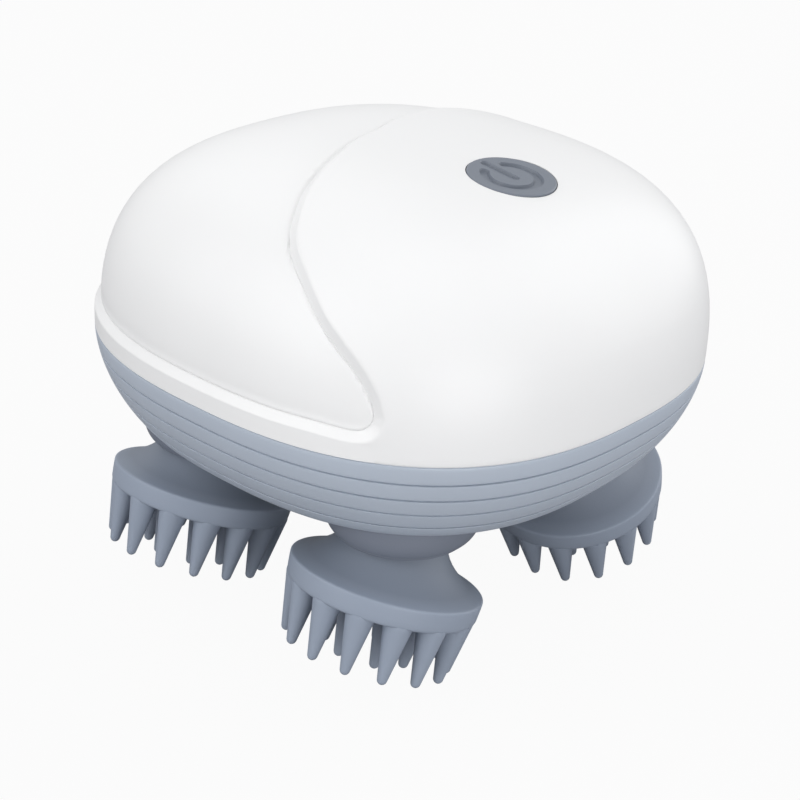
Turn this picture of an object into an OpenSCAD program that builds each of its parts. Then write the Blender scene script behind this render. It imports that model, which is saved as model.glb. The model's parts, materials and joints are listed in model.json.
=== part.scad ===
// Electric scalp massager. A glossy dome in two skins closes over a ribbed base, and a
// motor with a shaft at both ends turns four tilted claw heads through two worms.
// Frame: millimetres, +Z up. The origin is on the surface that the fingertips rest on,
// under the middle of the body. +Y is the long way of the body, and the power button is
// on the front, towards -Y. Heights inside the body are counted from the seam.

/* [Body] */
// Length of the body, front to back
body_len = 112; // [110:1:116]
// Width of the body, side to side
body_wid = 108; // [106:1:112]
// Height of the dome above the seam
dome_h = 37.5; // [37:0.5:40]
// Depth of the base below the seam
base_d = 20; // [19.5:0.1:20.4]
// Squareness of the plan, where 2 is an ellipse
plan_pow = 2.5; // [2.4:0.1:2.8]
// Thickness of the dome's and the base's wall
wall = 2.6; // [2.5:0.1:2.8]
// How far the side panel lies behind the main shell
panel_step = 1; // [0.8:0.1:1.1]
// Height of the panel's lower edge above the seam
ledge_h = 4.5; // [4:0.5:6]
// Depth of the thin grooves round the base
groove_d = 0.35; // [0.2:0.05:0.5]

/* [Heads] */
// Distance between the left and right heads' discs
head_span_x = 56.8; // [56.4:0.2:57.2]
// Distance between the front and rear heads' discs
head_span_y = 49.2; // [48.8:0.2:49.6]
// Depth of the discs' upper edge below the seam
head_drop = 33.4; // [33.1:0.1:33.7]
// Outward tilt of each head
head_tilt = 19; // [18.7:0.1:19.3]
// Radius of a head's disc
disc_r = 18.3; // [18:0.1:18.6]
// Height of the disc's rim
rim_h = 4.2; // [3.9:0.1:4.5]
// Radius of the neck above the disc
neck_r = 8.6; // [8.2:0.1:8.8]
// Length of a finger below the disc
finger_len = 11.5; // [10:0.5:13]
// Radius of a finger at its root
finger_root_r = 2.8; // [2.4:0.1:2.9]
// Radius of a finger at its tip
finger_tip_r = 0.95; // [0.8:0.05:1.1]
// Fingers in the outer ring
outer_fingers = 14; // [12:1:14]
// Fingers in the inner ring
inner_fingers = 7; // [5:1:8]

/* [Button] */
// Radius of the power button
button_r = 8.2; // [7.5:0.1:8.6]
// Distance of the button from the middle, towards the front
button_y = 23.6; // [23:0.1:24.4]
// Travel of the button
button_travel = 0.8; // [0.5:0.1:0.9]

/* [Drive] */
// Module of the worms and wheels
gear_mod = 0.8; // [0.8]
// Teeth on each worm wheel
wheel_teeth = 32; // [32]
// Pitch radius of the worms
worm_r = 4.2; // [4.1:0.05:4.3]
// Radius of the spindles
spindle_r = 2; // [1.8:0.1:2.1]
// Radius of the worm shaft
shaft_r = 1.5; // [1.3:0.1:1.6]
// Radius of the motor's can
motor_r = 10; // [9.6:0.1:10]

/* [Hidden] */
$fn = 64;

// Running gap between a turning or sliding part and its guide
run_gap = 0.04;
// Gap between a loose part and its surroundings
loose_gap = 0.15;
// Overshoot of a cutting shape
eps = 0.5;

// Shape of the shells: how fast they close towards the top and the bottom
side_pow = 3.3;
dome_pow = 2.65;
base_pow = 1.74;
// Depth at which the base's curve would close in a point
base_full_d = base_d * 1.5;
// Rounding between the base's side and its flat underside
base_edge_r = 3;
// Sides of the shells' rings
ring_n = 72;
// Depth of each groove below the seam, and half the width of its mouth
groove_z = [3.6, 7.2, 10.9, 14.8];
groove_w = 0.3;
// Underside of the side panel, measured from the outer surface
panel_floor = 1.9;

// Head geometry: sine and cosine of the tilt, and the ring radii of the fingers
st = sin(head_tilt);
ct = cos(head_tilt);
outer_ring_r = disc_r - finger_root_r - 0.2;
inner_ring_r = outer_ring_r * 0.52;
tip_centre = rim_h + finger_len - finger_tip_r;
// Height of the seam that puts the lowest fingertips at z = 0
seam_z = head_drop + tip_centre * ct + outer_ring_r * st + finger_tip_r;
// Height of the flare between disc and neck, and of the neck's top, along the head's axis
flare_h = 7.5;
neck_top = 11;
hub_top = 13;
hub_stem_r = 6;
hub_flange_r = 13;
hub_flange_z = [-2.4, -0.9];

// Gears: pitch radius, lead and the place of the wheels along the heads' axes
wheel_r = gear_mod * wheel_teeth / 2;
lead = PI * gear_mod;
lead_angle = atan(lead / (2 * PI * worm_r));
centre_gap = wheel_r + worm_r;
wheel_at = (head_span_x / 2 - ct * centre_gap) / st;
worm_z = -head_drop + ct * wheel_at - st * centre_gap;
addendum = 0.9 * gear_mod;
dedendum = 1.25 * gear_mod;
tooth_w = 0.36 * lead;
flank = tan(20);
wheel_face = 4.4;
worm_half = 6;
shaft_half = 34.8;
wheel_hub_r = 4.6;

// Spindle bosses and bushes, along the heads' axes
boss_from = 16.5;
boss_to = 31;
boss_r = 5.5;
bush_r = 4;
seal_r = 5.2;
spindle_to = 42;

// Socket collars
collar_x = head_span_x / 2 - (head_drop - 24) / ct * st;
collar_hole_r = 12.2;
collar_bore_r = 11;
collar_top_r = 14.5;
collar_drop = 4.6;

// Tray, motor and battery
floor_z = -base_d + wall;
tray_h = 2;
tray_top = floor_z + tray_h;
tray_half = 34.4;
motor_half = 11;
motor_flat = 7.6;
motor_wall = 0.8;
cap_h = 1.5;
pedestal_y = [31.6, 34.2];
post_side = 36;
post_end = 38.5;
post_r = 3.6;
post_split = -1;
clamp_top = worm_z + motor_r + 2;
battery_r = 7;
battery_half = 24;
battery_y = 9.5;
battery_z = clamp_top + 1.2 + battery_r;

// Button: height and slope of the dome under it, and the depths of what lies below it
button_rho = button_y / (body_len / 2);
button_z = dome_h * pow(1 - pow(button_rho, side_pow), 1 / dome_pow);
button_tilt = atan(dome_h / dome_pow * side_pow * pow(button_rho, side_pow - 1) / (body_len / 2)
    * pow(1 - pow(button_rho, side_pow), 1 / dome_pow - 1));
flange_r = 9.3;
flange_z = [-4.5, -3.65];
guide_z = [flange_z[0] - button_travel - 1.6, flange_z[0] - button_travel - 0.1];
guide_tube_z = -8;
stem_r = 3;
stem_z = -8.5;
board_z = -13;
board_h = 1.6;
switch_h = 3.5;
board_post_x = 13.5;
board_post_r = 2.4;

// Charging port, in the back of the base
port_z = -8;
port_w = 9.4;
port_h = 3.6;
plug_w = 12;
plug_h = 6;
plug_t = 1.3;
port_y = body_len / 2 * pow(1 - pow(-port_z / base_full_d, base_pow), 1 / side_pow);

// Knots of the S-shaped line over the dome, front side towards -Y, in plan
s_knots = [[-46, -36], [-47.6, -26], [-44.6, -14.5], [-35, -5], [-19, 2.6], [0, 8.4],
    [18, 10], [34, 6], [45, -3.5], [51, -16], [53.5, -28]];

// ---------- shared shapes ----------

function spow(v, p) = sign(v) * pow(abs(v), p);

// One ring of the plan's superellipse, with half-axes along X and Y
function ring(hx, hy, z) = [for (i = [0:ring_n - 1])
    let (t = 360 * i / ring_n)
    [hx * spow(cos(t), 2 / plan_pow), hy * spow(sin(t), 2 / plan_pow), z]];

// The plan's outline, moved in from the outer surface
function plan(inset) = [for (p = ring(body_wid / 2 - inset, body_len / 2 - inset, 0)) [p[0], p[1]]];

// The dome's ring at a latitude of 0 to 90 degrees, moved in from the outer surface
function dome_ring(lat, inset) = let (k = pow(cos(lat), 2 / side_pow))
    ring((body_wid / 2 - inset) * k, (body_len / 2 - inset) * k,
        (dome_h - inset) * pow(sin(lat), 2 / dome_pow));

// The base's ring at a height below the seam
function base_k(z) = pow(1 - pow(-z / base_full_d, base_pow), 1 / side_pow);
function edge_inset(h) = h >= base_edge_r ? 0
    : base_edge_r - sqrt(pow(base_edge_r, 2) - pow(base_edge_r - h, 2));
function base_ring(z, inset, edge) = ring(body_wid / 2 * base_k(z) - inset - edge,
    body_len / 2 * base_k(z) - inset - edge, z);

// A closed solid through rings that all have the same number of points
module loft(rings) {
    n = len(rings[0]);
    m = len(rings);
    polyhedron(
        points = [for (r = rings) for (p = r) p],
        faces = concat(
            [[for (j = [0:n - 1]) j]],
            [for (i = [0:m - 2]) for (j = [0:n - 1])
                [i * n + j, (i + 1) * n + j, (i + 1) * n + (j + 1) % n, i * n + (j + 1) % n]],
            [[for (j = [n - 1:-1:0]) (m - 1) * n + j]]),
        convexity = 6);
}

lats = [0, 8, 16, 25, 34, 43, 52, 60, 68, 75, 81, 85.5, 88.4];
function reversed(v) = [for (i = [len(v) - 1:-1:0]) v[i]];

module dome_shell(outer, inner) {
    loft(concat([for (lat = reversed(lats)) dome_ring(lat, inner)],
        [for (lat = lats) dome_ring(lat, outer)]));
}

module dome_solid(inset) loft([for (lat = lats) dome_ring(lat, inset)]);

// Smooth curve through the knots of the S-line
function spline(p, t) = 0.5 * (2 * p[1] + (p[2] - p[0]) * t
    + (2 * p[0] - 5 * p[1] + 4 * p[2] - p[3]) * t * t
    + (3 * p[1] - p[0] - 3 * p[2] + p[3]) * t * t * t);
function s_knot(i) = s_knots[max(0, min(len(s_knots) - 1, i))];
s_line = [for (i = [0:len(s_knots) - 2]) for (t = [0:0.25:0.75])
    spline([s_knot(i - 1), s_knot(i), s_knot(i + 1), s_knot(i + 2)], t)];

// The S-line, moved by a gap to the panel's side
function s_line_at(gap) = [for (i = [0:len(s_line) - 1])
    let (d = s_line[min(i + 1, len(s_line) - 1)] - s_line[max(i - 1, 0)])
    s_line[i] + gap / norm(d) * [-d[1], d[0]]];

// The space behind the S-line and above the ledge, shrunk by a gap
module panel_space(gap) {
    far = body_len;
    translate([0, 0, ledge_h + gap])
        linear_extrude(dome_h + eps)
            polygon(concat(s_line_at(gap), [[far, -28 + gap], [far, far], [-far, far],
                [-far, -36 + gap]]));
}

module at_seam() translate([0, 0, seam_z]) children();

// A head's own frame: origin at the disc's upper edge, z along its axis towards the body.
// side is -1 on the left and 1 on the right, end is -1 at the front and 1 at the rear.
module head_frame(side, end) {
    translate([side * head_span_x / 2, end * head_span_y / 2, seam_z - head_drop])
        rotate([0, -side * head_tilt, 0])
            children();
}

// The button's frame: origin on the dome's surface, z out along the button's axis
module button_frame() {
    translate([0, -button_y, seam_z + button_z])
        rotate([button_tilt, 0, 0])
            children();
}

module tube(r_out, r_in, z0, z1) {
    translate([0, 0, z0])
        difference() {
            cylinder(r = r_out, h = z1 - z0);
            translate([0, 0, -eps]) cylinder(r = r_in, h = z1 - z0 + 2 * eps);
        }
}

module rod(r, z0, z1) translate([0, 0, z0]) cylinder(r = r, h = z1 - z0);

// Places its children on the four case posts
module at_posts() {
    for (s = [-1, 1]) {
        translate([s * post_side, 0, 0]) children();
        translate([0, s * post_end, 0]) children();
    }
}

// Turns z to +Y, for parts on the motor's axis
module on_shaft() at_seam() translate([0, 0, worm_z]) rotate([-90, 0, 0]) children();

// A pan-head screw with a cross recess, its tip towards +z and its head's seat at z = 0
module screw(r, len, head_r, head_h) {
    difference() {
        union() {
            rod(r, 0, len);
            rod(head_r, -head_h, 0);
        }
        for (a = [0, 90])
            rotate([0, 0, a])
                translate([-head_r * 0.6, -0.25, -head_h - eps])
                    cube([head_r * 1.2, 0.5, head_h * 0.5 + eps]);
    }
}

// ---------- shells ----------

module main_shell() color("white") at_seam() {
    difference() {
        union() {
            difference() {
                dome_shell(0, wall);
                difference() {
                    panel_space(0);
                    dome_solid(panel_floor);
                }
            }
            case_posts();
            board_posts();
        }
        at_posts() rod(1, post_split - eps, 9);
        translate([0, 0, -seam_z]) button_frame() rod(button_r + loose_gap, -6, 3);
        translate([0, 0, -seam_z]) button_frame() board_post_at() rod(0.8, board_z - eps, -6);
    }
}

module case_posts() {
    intersection() {
        at_posts() rod(post_r, post_split, dome_h);
        union() {
            dome_solid(wall / 2 + panel_floor / 2);
            translate([-body_len, -body_len, post_split]) cube([2 * body_len, 2 * body_len, 2]);
        }
    }
}

module board_post_at() for (s = [-1, 1]) translate([s * board_post_x, -2, 0]) children();

module board_posts() {
    translate([0, 0, -seam_z]) button_frame() board_post_at() rod(board_post_r, board_z, -1.8);
}

module side_panel() color("snow") at_seam() {
    intersection() {
        dome_shell(panel_step, panel_floor - 0.05);
        panel_space(loose_gap);
    }
}

base_levels = concat([for (f = [0, 0.08, 0.3, 0.62, 1]) -base_d + f * base_edge_r],
    [for (i = [3:-1:0]) for (s = [-1, 0, 1]) -groove_z[i] + s * groove_w], [0]);
function is_groove(z) = len([for (g = groove_z) if (abs(z + g) < 0.01) g]) > 0;

module base_body() {
    outer = [for (z = base_levels)
        base_ring(z, is_groove(z) ? groove_d : 0, edge_inset(z + base_d))];
    loft(concat(outer, base_hollow(wall)));
}

// The hollow's rings, from the seam down to the floor
function base_hollow(inset) = [for (z = [0, 0.2, 0.4, 0.58, 0.74, 0.88, 1] * floor_z)
    base_ring(z, inset, edge_inset(z - floor_z) * 0.6)];

module base_shell() color("lightslategray") at_seam() {
    difference() {
        union() {
            base_body();
            at_posts() rod(post_r, floor_z - 1, post_split);
            port_shelf();
        }
        for (sx = [-1, 1]) for (sy = [-1, 1])
            translate([sx * collar_x, sy * head_span_y / 2, -base_d - eps])
                cylinder(r = collar_hole_r, h = wall + 2 * eps);
        at_posts() rod(1.25, -base_d, 0);
        at_posts() rod(2.5, -base_d - eps, -12);
        tray_screw_at() rod(0.9, floor_z - 1.6, 0);
        port_cut();
        charge_screw_at() rod(0.7, -16, 0);
    }
}

// Block behind the port, on which the charging board lies
module port_shelf() intersection() {
    translate([-9, port_y - 10, floor_z - 1])
        cube([18, 9, port_z - port_h / 2 - 1 - floor_z + 1]);
    translate([0, 0, -0.5]) loft(reversed(base_hollow(wall - 0.7)));
}

module charge_screw_at() for (s = [-1, 1]) translate([s * 6.6, port_y - 7.5, 0]) children();

// Through opening for the socket, and the shallow recess that the plug fills
module port_cut() {
    translate([-port_w / 2, port_y - 6, port_z - port_h / 2]) cube([port_w, 8, port_h]);
    translate([-plug_w / 2, port_y - plug_t, port_z - plug_h / 2]) cube([plug_w, 4, plug_h]);
}

module seam_seal() color("dimgray") at_seam() translate([0, 0, -1.5]) linear_extrude(3)
    difference() {
        polygon(plan(wall + 0.2));
        polygon(plan(wall + 1.4));
    }

// ---------- button and board ----------

module power_button() color("slategray") button_frame() {
    icon_r = button_r * 0.585;
    line_w = 1.4;
    groove = 0.4;
    difference() {
        union() {
            rod(button_r, flange_z[0], -0.3);
            rod(flange_r, flange_z[0], flange_z[1]);
            rotate_extrude() polygon([[0, -0.3], [button_r, -0.3], [button_r - 0.3, 0], [0, 0]]);
            rod(stem_r, stem_z, flange_z[0]);
        }
        rotate([0, 0, 125]) rotate_extrude(angle = 290)
            translate([icon_r - line_w / 2, -groove]) square([line_w, 1]);
        translate([-line_w / 2, -icon_r * 0.27, -groove]) cube([line_w, icon_r * 1.69, 1]);
    }
}

module switch_plunger() color("ivory") button_frame() rod(1.5, stem_z - 3.4, stem_z);

module button_guide() color("gray") button_frame() {
    difference() {
        union() {
            rod(9.4, guide_z[0], guide_z[1]);
            translate([-board_post_x, -4.5, guide_z[0]])
                cube([2 * board_post_x, 5, guide_z[1] - guide_z[0]]);
            board_post_at() rod(board_post_r + 1.4, guide_z[0], guide_z[1]);
            rod(stem_r + 1.6, guide_tube_z, guide_z[0]);
        }
        rod(stem_r + run_gap, guide_tube_z - eps, 0);
        board_post_at() rod(board_post_r, guide_z[0] - eps, 0);
    }
}

module tact_switch() color("dimgray") button_frame() {
    difference() {
        translate([-3, -3, board_z]) cube([6, 6, switch_h]);
        rod(1.5 + run_gap, board_z + 0.2, 0);
    }
}

module circuit_board() color("seagreen") button_frame() {
    difference() {
        translate([-16.5, -10, board_z - board_h]) cube([33, 14, board_h]);
        board_post_at() rod(1.1, board_z - board_h - eps, 0);
    }
}

module board_screws() color("silver") button_frame()
    board_post_at() translate([0, 0, board_z - board_h]) screw(0.8, 6, 1.8, 1.2);

// ---------- battery ----------

module battery() color("steelblue") at_seam() translate([0, battery_y, battery_z])
    rotate([-90, 0, 0]) {
        rod(battery_r, -battery_half, battery_half - 1);
        rod(2.6, battery_half - 1, battery_half);
    }

module battery_cradle() color("gray") at_seam() difference() {
    translate([-battery_r, battery_y - battery_half + 3, clamp_top])
        cube([2 * battery_r, 2 * battery_half - 6, 4.4]);
    translate([0, battery_y, battery_z]) rotate([-90, 0, 0])
        rod(battery_r, -battery_half - 2, battery_half + 2);
}

// A band round the battery and its cradle
module battery_strap() color("black") at_seam() translate([0, battery_y + 3.5, 0])
    rotate([90, 0, 0]) linear_extrude(7) difference() {
        strap_outline(0.8);
        strap_outline(0);
    }

module strap_outline(t) {
    translate([0, battery_z]) circle(r = battery_r + t);
    translate([-battery_r - t, clamp_top - t])
        square([2 * (battery_r + t), battery_z - clamp_top + t]);
}

// ---------- motor and worms ----------

// The can's outline: a circle with two flats
module motor_outline(r, flat) intersection() {
    circle(r = r);
    square([2 * flat, 2 * r + 1], center = true);
}

module motor_can() color("silver") on_shaft() difference() {
    translate([0, 0, -motor_half]) linear_extrude(2 * motor_half)
        motor_outline(motor_r, motor_flat);
    translate([0, 0, -motor_half - eps]) linear_extrude(2 * motor_half + 2 * eps)
        motor_outline(motor_r - motor_wall, motor_flat - motor_wall);
}

module motor_caps() color("black") on_shaft() for (s = [0, 180]) rotate([s, 0, 0])
    difference() {
        union() {
            translate([0, 0, motor_half]) linear_extrude(cap_h)
                motor_outline(motor_r - 0.2, motor_flat - 0.2);
            rod(3, motor_half + cap_h, motor_half + cap_h + 1.2);
        }
        rod(shaft_r + run_gap, motor_half - eps, motor_half + 5);
    }

// Two magnets behind the can's round sides
module motor_magnets() color("dimgray") on_shaft() intersection() {
    tube(motor_r - motor_wall, 7, -8, 8);
    translate([-5, -motor_r, -9]) cube([10, 2 * motor_r, 18]);
}

module rotor() color("chocolate") on_shaft() difference() {
    union() {
        for (a = [0, 120, 240]) rotate([0, 0, a]) {
            translate([-1.2, 0, -6]) cube([2.4, 5.2, 12]);
            intersection() {
                tube(6.2, 4.9, -6, 6);
                translate([-4.2, 0, -7]) cube([8.4, 8, 14]);
            }
        }
        rod(2.6, -9, 9);
    }
    rod(shaft_r, -10, 10);
}

module worm_shaft() color("silver") on_shaft() rod(shaft_r, -shaft_half, shaft_half);

worm_steps = 30;
worm_turns = 7;
worm_root_r = worm_r - dedendum;
worm_profile = [
    [-tooth_w / 2 - dedendum * flank, worm_root_r],
    [-tooth_w / 2 + addendum * flank, worm_r + addendum],
    [tooth_w / 2 - addendum * flank, worm_r + addendum],
    [tooth_w / 2 + dedendum * flank, worm_root_r]];

// A closed right-hand helix. Each turn has four rows, one for each corner of the thread,
// and the last step of a row meets the first step of the row four further up.
module worm_helix() {
    n = worm_steps;
    rows = 4 * worm_turns;
    z0 = lead * (0.5 + head_tilt / 360 - (worm_turns + 1) / 2);
    rim_low = concat([for (j = [0:n - 1]) j], [for (k = [4:-1:1]) k * n]);
    rim_high = concat([for (j = [0:n - 1]) (rows - 1) * n + j],
        [for (k = [rows - 2:-1:rows - 5]) k * n + n - 1]);
    polyhedron(
        points = concat(
            [for (k = [0:rows - 1]) for (j = [0:n - 1])
                let (p = worm_profile[k % 4], t = 360 * j / n)
                [p[1] * cos(t), p[1] * sin(t), z0 + lead * (floor(k / 4) + j / n) + p[0]]],
            [[0, 0, z0 - 2], [0, 0, z0 + lead * (worm_turns + 1) + 1]]),
        faces = concat(
            [for (k = [0:rows - 2]) for (j = [0:n - 2])
                [k * n + j, (k + 1) * n + j, (k + 1) * n + j + 1, k * n + j + 1]],
            [for (k = [0:rows - 6])
                [k * n + n - 1, (k + 1) * n + n - 1, (k + 5) * n, (k + 4) * n]],
            [for (i = [0:len(rim_low) - 1])
                [rows * n, rim_low[i], rim_low[(i + 1) % len(rim_low)]]],
            [for (i = [0:len(rim_high) - 1])
                [rows * n + 1, rim_high[(i + 1) % len(rim_high)], rim_high[i]]]),
        convexity = 10);
}

// The rear worm is right-handed. The front one is its mirror image, so their thrusts cancel.
module worm(end) color("goldenrod") mirror([0, end < 0 ? 1 : 0, 0])
    translate([0, head_span_y / 2, 0]) on_shaft() difference() {
        union() {
            intersection() {
                worm_helix();
                rod(worm_r + addendum + 1, -worm_half, worm_half);
            }
            rod(worm_root_r - 0.3, worm_half, worm_half + 0.8);
        }
        rod(shaft_r, -worm_half - eps, worm_half + 2);
    }

module shaft_bushes() color("goldenrod") for (s = [0, 1]) mirror([0, s, 0]) on_shaft()
    tube(3, shaft_r + run_gap, pedestal_y[0], pedestal_y[1]);

// ---------- tray ----------

module tray_screw_at() for (sx = [-1, 1]) for (sy = [-1, 1])
    translate([sx * 29, sy * 4.5, 0]) children();

module gear_tray() color("lightgray") difference() {
    union() {
        at_seam() translate([0, 0, floor_z]) linear_extrude(tray_h) tray_outline();
        for (sx = [-1, 1]) for (sy = [-1, 1]) head_frame(sx, sy) rod(boss_r, boss_from, boss_to);
        for (s = [0, 1]) mirror([0, s, 0]) pedestal();
        for (s = [0, 1]) mirror([0, s, 0]) motor_saddle();
        at_seam() clamp_post_at() rod(2.8, tray_top - 0.5, clamp_top - 2);
    }
    for (sx = [-1, 1]) for (sy = [-1, 1]) head_frame(sx, sy) {
        rod(bush_r, 0, boss_to + 2);
        rod(seal_r, 0, boss_from);
    }
    at_seam() at_posts() rod(post_r + loose_gap, floor_z - eps, 0);
    at_seam() tray_screw_at() rod(1.1, floor_z - eps, 0);
    at_seam() clamp_post_at() rod(0.9, clamp_top - 10, clamp_top);
}

module tray_outline() union() {
    translate([-tray_half, -10]) square([2 * tray_half, 20]);
    translate([-30, -tray_half]) square([60, 2 * tray_half]);
}

module pedestal() difference() {
    at_seam() translate([-4, pedestal_y[0], tray_top - 0.5])
        cube([8, pedestal_y[1] - pedestal_y[0], worm_z - tray_top + 4.5]);
    on_shaft() rod(3, 0, 50);
}

module motor_saddle() difference() {
    at_seam() translate([-motor_flat - 1.5, motor_half - 5, tray_top - 0.5])
        cube([2 * motor_flat + 3, 3, worm_z - tray_top]);
    on_shaft() translate([0, 0, -20]) linear_extrude(60) motor_outline(motor_r, motor_flat);
}

module clamp_post_at() for (s = [-1, 1]) translate([s * 12, 0, 0]) children();

module motor_clamp() color("gray") at_seam() difference() {
    translate([-15, -3.5, clamp_top - 2]) cube([30, 7, 2]);
    clamp_post_at() rod(1.15, clamp_top - 3, clamp_top + 1);
}

module clamp_screws() color("silver") at_seam()
    clamp_post_at() translate([0, 0, clamp_top]) mirror([0, 0, 1]) screw(0.9, 7, 1.9, 1.1);

module tray_screws() color("silver") at_seam()
    tray_screw_at() translate([0, 0, tray_top]) mirror([0, 0, 1]) screw(0.9, 3.4, 1.9, 1.1);

module case_screws() color("silver") at_seam()
    at_posts() translate([0, 0, -12]) screw(1, 18, 2.2, 1.4);

// ---------- charging port ----------

module charge_board() color("seagreen") at_seam() difference() {
    translate([-8.5, port_y - 9.8, port_z - port_h / 2 - 1]) cube([17, 5.2, 1.2]);
    charge_screw_at() rod(0.9, -12, 0);
}

module charge_screws() color("silver") at_seam() charge_screw_at()
    translate([0, 0, port_z - port_h / 2 + 0.2]) mirror([0, 0, 1]) screw(0.7, 4, 1.4, 0.9);

module charge_socket() color("silver") at_seam() difference() {
    translate([-4.5, port_y - 9, port_z - port_h / 2 + 0.2]) cube([9, 7, 3.2]);
    translate([-4.1, port_y - 8, port_z - port_h / 2 + 0.6]) cube([8.2, 7, 2.4]);
}

// The plug fills the recess and its tongue reaches a little way into the socket
module port_plug() color("darkslategray") at_seam() {
    gap = loose_gap;
    translate([-plug_w / 2 + gap, port_y - plug_t + gap, port_z - plug_h / 2 + gap])
        cube([plug_w - 2 * gap, plug_t - 0.1, plug_h - 2 * gap]);
    translate([-3.6, port_y - 5, port_z - port_h / 2 + 1]) cube([7.2, 5, 1.6]);
}

// ---------- heads ----------

// A bowl-shaped skirt under the base, round the neck, with a spigot through the floor
module socket_collar(side, end) color("slategray") at_seam()
    translate([side * collar_x, end * head_span_y / 2, -base_d])
        rotate_extrude() polygon(concat(
            [[collar_bore_r, wall], [collar_hole_r, wall], [collar_hole_r, 0], [collar_top_r, 0]],
            [for (a = [0:10:90]) [collar_hole_r + 0.1 + (collar_top_r - collar_hole_r - 0.1)
                * cos(a), -collar_drop * sin(a)]],
            [[collar_bore_r + 0.3, -collar_drop], [collar_bore_r, -collar_drop + 0.5]]));

module spindle_bush(side, end) color("goldenrod") head_frame(side, end) {
    tube(bush_r, spindle_r + run_gap, boss_from, boss_to);
    tube(boss_r, spindle_r + run_gap, boss_to, boss_to + 0.8);
}

module shaft_seals() color("black") for (sx = [-1, 1]) for (sy = [-1, 1]) head_frame(sx, sy)
    tube(seal_r, spindle_r + 0.2, boss_from - 1.8, boss_from);

module spindle(side, end) color("silver") head_frame(side, end) difference() {
    rod(spindle_r, 0.6, spindle_to);
    rod(0.8, 0, 6);
}

// A worm wheel with straight teeth, each turned to the worm's lead angle
module worm_wheel(side, end) color("ivory") mirror([0, end < 0 ? 1 : 0, 0])
    head_frame(side, 1) {
        pitch_angle = 360 / wheel_teeth;
        turn = side > 0 ? 180 : -(0.5 - head_tilt / 180) * pitch_angle;
        root = wheel_r - dedendum;
        translate([0, 0, wheel_at]) difference() {
            union() {
                rod(root, -wheel_face / 2, wheel_face / 2);
                rod(wheel_hub_r, boss_to + 1 - wheel_at, 2.8);
                for (i = [0:wheel_teeth - 1]) rotate([0, 0, turn + i * pitch_angle])
                    wheel_tooth(root);
            }
            rod(spindle_r, -20, 20);
            for (z = [-wheel_face / 2 - 1, wheel_face / 2 - 1.2]) tube(root - 1.8, 6.4, z, z + 2.2);
        }
    }

module wheel_tooth(root) rotate([-lead_angle, 0, 0])
    translate([0, 0, -wheel_face / 2]) linear_extrude(wheel_face)
        polygon([[root - 0.6, -tooth_w / 2 - dedendum * flank],
            [wheel_r + addendum, -tooth_w / 2 + addendum * flank],
            [wheel_r + addendum, tooth_w / 2 - addendum * flank],
            [root - 0.6, tooth_w / 2 + dedendum * flank]]);

// Rigid core of a head: a flange inside the disc and a stem up the neck
module head_hub(side, end) color("dimgray") head_frame(side, end) difference() {
    union() {
        rod(hub_flange_r, hub_flange_z[0], hub_flange_z[1]);
        rod(hub_stem_r, hub_flange_z[1], hub_top);
    }
    rod(spindle_r, 0.6, hub_top + 1);
    rod(1.1, -4, 2);
}

function flare_r(z) = neck_r + (disc_r - 0.5 - neck_r) * pow(1 - z / flare_h, 2.2);

module claw_skin() rotate_extrude() polygon(concat(
    [[2.6, -rim_h], [disc_r - 0.4, -rim_h], [disc_r, -rim_h + 0.4], [disc_r, -0.5]],
    [for (z = [0:0.75:flare_h]) [flare_r(z), z]],
    [[neck_r, neck_top - 0.5], [neck_r - 0.5, neck_top], [hub_stem_r, neck_top],
        [hub_stem_r, hub_flange_z[1]], [hub_flange_r, hub_flange_z[1]],
        [hub_flange_r, hub_flange_z[0]], [2.6, hub_flange_z[0]]]));

module finger() rotate_extrude() polygon(concat(
    [[0, -rim_h + 0.5], [finger_root_r, -rim_h + 0.5]],
    [for (a = [10:16:90]) [finger_tip_r * cos(a), -tip_centre - finger_tip_r * sin(a)]],
    [[0, -tip_centre - finger_tip_r]]));

module head_claw(side, end) color("slategray") head_frame(side, end) {
    inner_side = side > 0 ? 180 : 0;
    union() {
        claw_skin();
        for (i = [0:outer_fingers - 1]) rotate([0, 0, inner_side + 360 * i / outer_fingers])
            translate([outer_ring_r, 0, 0]) finger();
        for (i = [0:inner_fingers - 1])
            rotate([0, 0, inner_side + 360 * (i + 0.5) / inner_fingers])
                translate([inner_ring_r, 0, 0]) finger();
    }
}

module head_screw(side, end) color("silver") head_frame(side, end)
    translate([0, 0, hub_flange_z[0]]) screw(0.8, 7, 2.1, 1.1);

// ---------- which nodes are drawn ----------

main_shell();
side_panel();
base_shell();
seam_seal();
power_button();
switch_plunger();
button_guide();
tact_switch();
circuit_board();
board_screws();
battery();
battery_cradle();
battery_strap();
motor_can();
motor_caps();
motor_magnets();
rotor();
worm_shaft();
worm(-1);  // worm_front
worm(1);  // worm_rear
shaft_bushes();
motor_clamp();
clamp_screws();
gear_tray();
tray_screws();
case_screws();
charge_board();
charge_screws();
charge_socket();
port_plug();
shaft_seals();
socket_collar(-1, -1);  // socket_collar_front_left
socket_collar(1, -1);  // socket_collar_front_right
socket_collar(-1, 1);  // socket_collar_rear_left
socket_collar(1, 1);  // socket_collar_rear_right
spindle_bush(-1, -1);  // spindle_bush_front_left
spindle_bush(1, -1);  // spindle_bush_front_right
spindle_bush(-1, 1);  // spindle_bush_rear_left
spindle_bush(1, 1);  // spindle_bush_rear_right
spindle(-1, -1);  // spindle_front_left
spindle(1, -1);  // spindle_front_right
spindle(-1, 1);  // spindle_rear_left
spindle(1, 1);  // spindle_rear_right
worm_wheel(-1, -1);  // worm_wheel_front_left
worm_wheel(1, -1);  // worm_wheel_front_right
worm_wheel(-1, 1);  // worm_wheel_rear_left
worm_wheel(1, 1);  // worm_wheel_rear_right
head_hub(-1, -1);  // head_hub_front_left
head_hub(1, -1);  // head_hub_front_right
head_hub(-1, 1);  // head_hub_rear_left
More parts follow.
